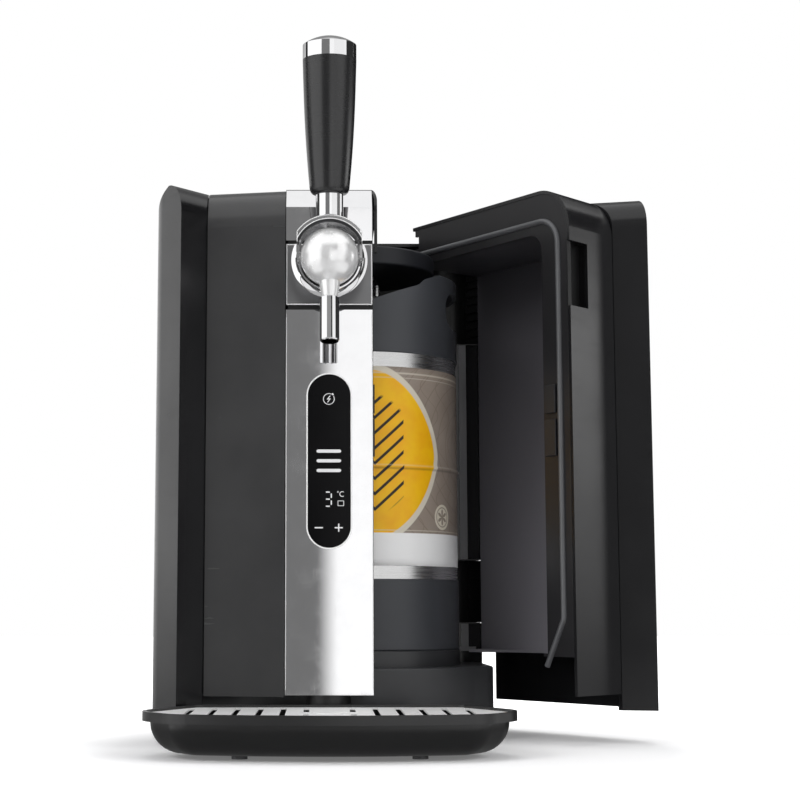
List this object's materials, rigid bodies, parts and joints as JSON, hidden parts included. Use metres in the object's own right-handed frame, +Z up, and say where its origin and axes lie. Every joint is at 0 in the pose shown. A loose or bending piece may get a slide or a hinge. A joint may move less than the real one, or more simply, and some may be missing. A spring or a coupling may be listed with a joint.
{
  "type": "mini keg beer dispenser",
  "caption": "Countertop mini keg cooler with a chromed tap column, a door standing open on the keg, and a drip tray in front.",
  "frame": {"origin": "on the table, under the centre foot of the base", "axes": "+Z up, +X to the right seen from the front, -Y towards the front where the tap and the drip tray are"},
  "size_m": [0.4211, 0.4542, 0.5726],
  "materials": {
    "black_case": "satin",
    "black_plastic": "matte",
    "chrome": "polished",
    "steel": "brushed",
    "keg_steel": "satin",
    "liner": "satin",
    "aluminium": "satin",
    "glass_black": "gloss",
    "foam": "matte",
    "rubber": "matte",
    "gasket": "satin",
    "label": "satin",
    "board": "satin",
    "ceramic": "matte",
    "tube": "gloss",
    "grip": "gloss",
    "zinc": "satin"
  },
  "bodies": {
    "cabinet": {"base_pan": "black_plastic", "base_deck": "black_case", "base_feet": "rubber", "column_frame": "black_plastic", "column_lower_plate": "chrome", "column_tap_plate": "chrome", "column_cap": "chrome", "display_glass": "glass_black", "display_bezel": "chrome", "control_board": "board", "head_housing": "black_case", "left_front_panel": "black_case", "left_side_panel": "black_case", "rear_housing": "black_case", "rear_cover": "black_plastic", "rear_cover_screws": "steel", "bay_liner": "liner", "cold_plate": "aluminium", "peltier_module": "ceramic", "heat_sink": "aluminium", "fan_frame": "black_plastic", "dispense_head": "liner", "beer_tube": "tube", "air_tube": "tube", "air_pump": "zinc", "power_supply": "zinc", "power_inlet": "black_plastic", "keg_body": "keg_steel", "keg_collar": "rubber", "keg_base_ring": "rubber", "keg_label": "label", "keg_fitting": "steel", "tap_barrel": "chrome", "tap_dish": "chrome", "tap_ball": "steel", "spout_nozzle": "chrome", "lever_pins": "steel", "hinge_bracket_upper": "zinc", "hinge_bracket_lower": "zinc", "hinge_pins": "steel", "column_magnets": "zinc"},
    "door": {"door_front_panel": "black_case", "door_side_panel": "black_case", "door_liner": "liner", "door_insulation": "foam", "door_gasket": "gasket", "door_pull_cup": "black_plastic", "door_keepers": "zinc", "hinge_arm_upper": "black_plastic", "hinge_arm_lower": "black_plastic"},
    "tap_lever": {"lever_yoke": "chrome", "lever_stem": "chrome", "handle_grip": "grip", "handle_cap": "chrome"},
    "valve_plunger": {"valve_plunger": "steel"},
    "drip_tray": {"tray_bowl": "black_plastic", "tray_feet": "rubber"},
    "drip_grille": {"grille_frame": "black_plastic", "grille_plate": "steel"},
    "fan_rotor": {"fan_rotor": "black_plastic"}
  },
  "joints": [
    {"name": "door_swing", "type": "hinge", "parent": "cabinet", "child": "door", "pos_m": [0.12, 0.1, 0.25], "axis": [0, 0, 1], "range_deg": [-35.3, 44.7]},
    {"name": "lever_pull", "type": "hinge", "parent": "cabinet", "child": "tap_lever", "pos_m": [0, -0.198, 0.393], "axis": [1, 0, 0], "range_deg": [0, 36]},
    {"name": "plunger_lift", "type": "slide", "parent": "cabinet", "child": "valve_plunger", "axis": [0, 0, 1], "range_m": [0, 0.0032]},
    {"name": "tray_slide", "type": "slide", "parent": "cabinet", "child": "drip_tray", "axis": [0, -1, 0], "range_m": [0, 0.12]},
    {"name": "grille_lift", "type": "slide", "parent": "drip_tray", "child": "drip_grille", "axis": [0, 0, 1], "range_m": [0, 0.05]},
    {"name": "fan_spin", "type": "hinge", "parent": "cabinet", "child": "fan_rotor", "pos_m": [0.027, 0.122, 0.24], "axis": [0, 1, 0], "continuous": true}
  ],
  "couplings": [
    {"joint": "plunger_lift", "follows": "lever_pull", "m_per_rad": 0.0049}
  ]
}
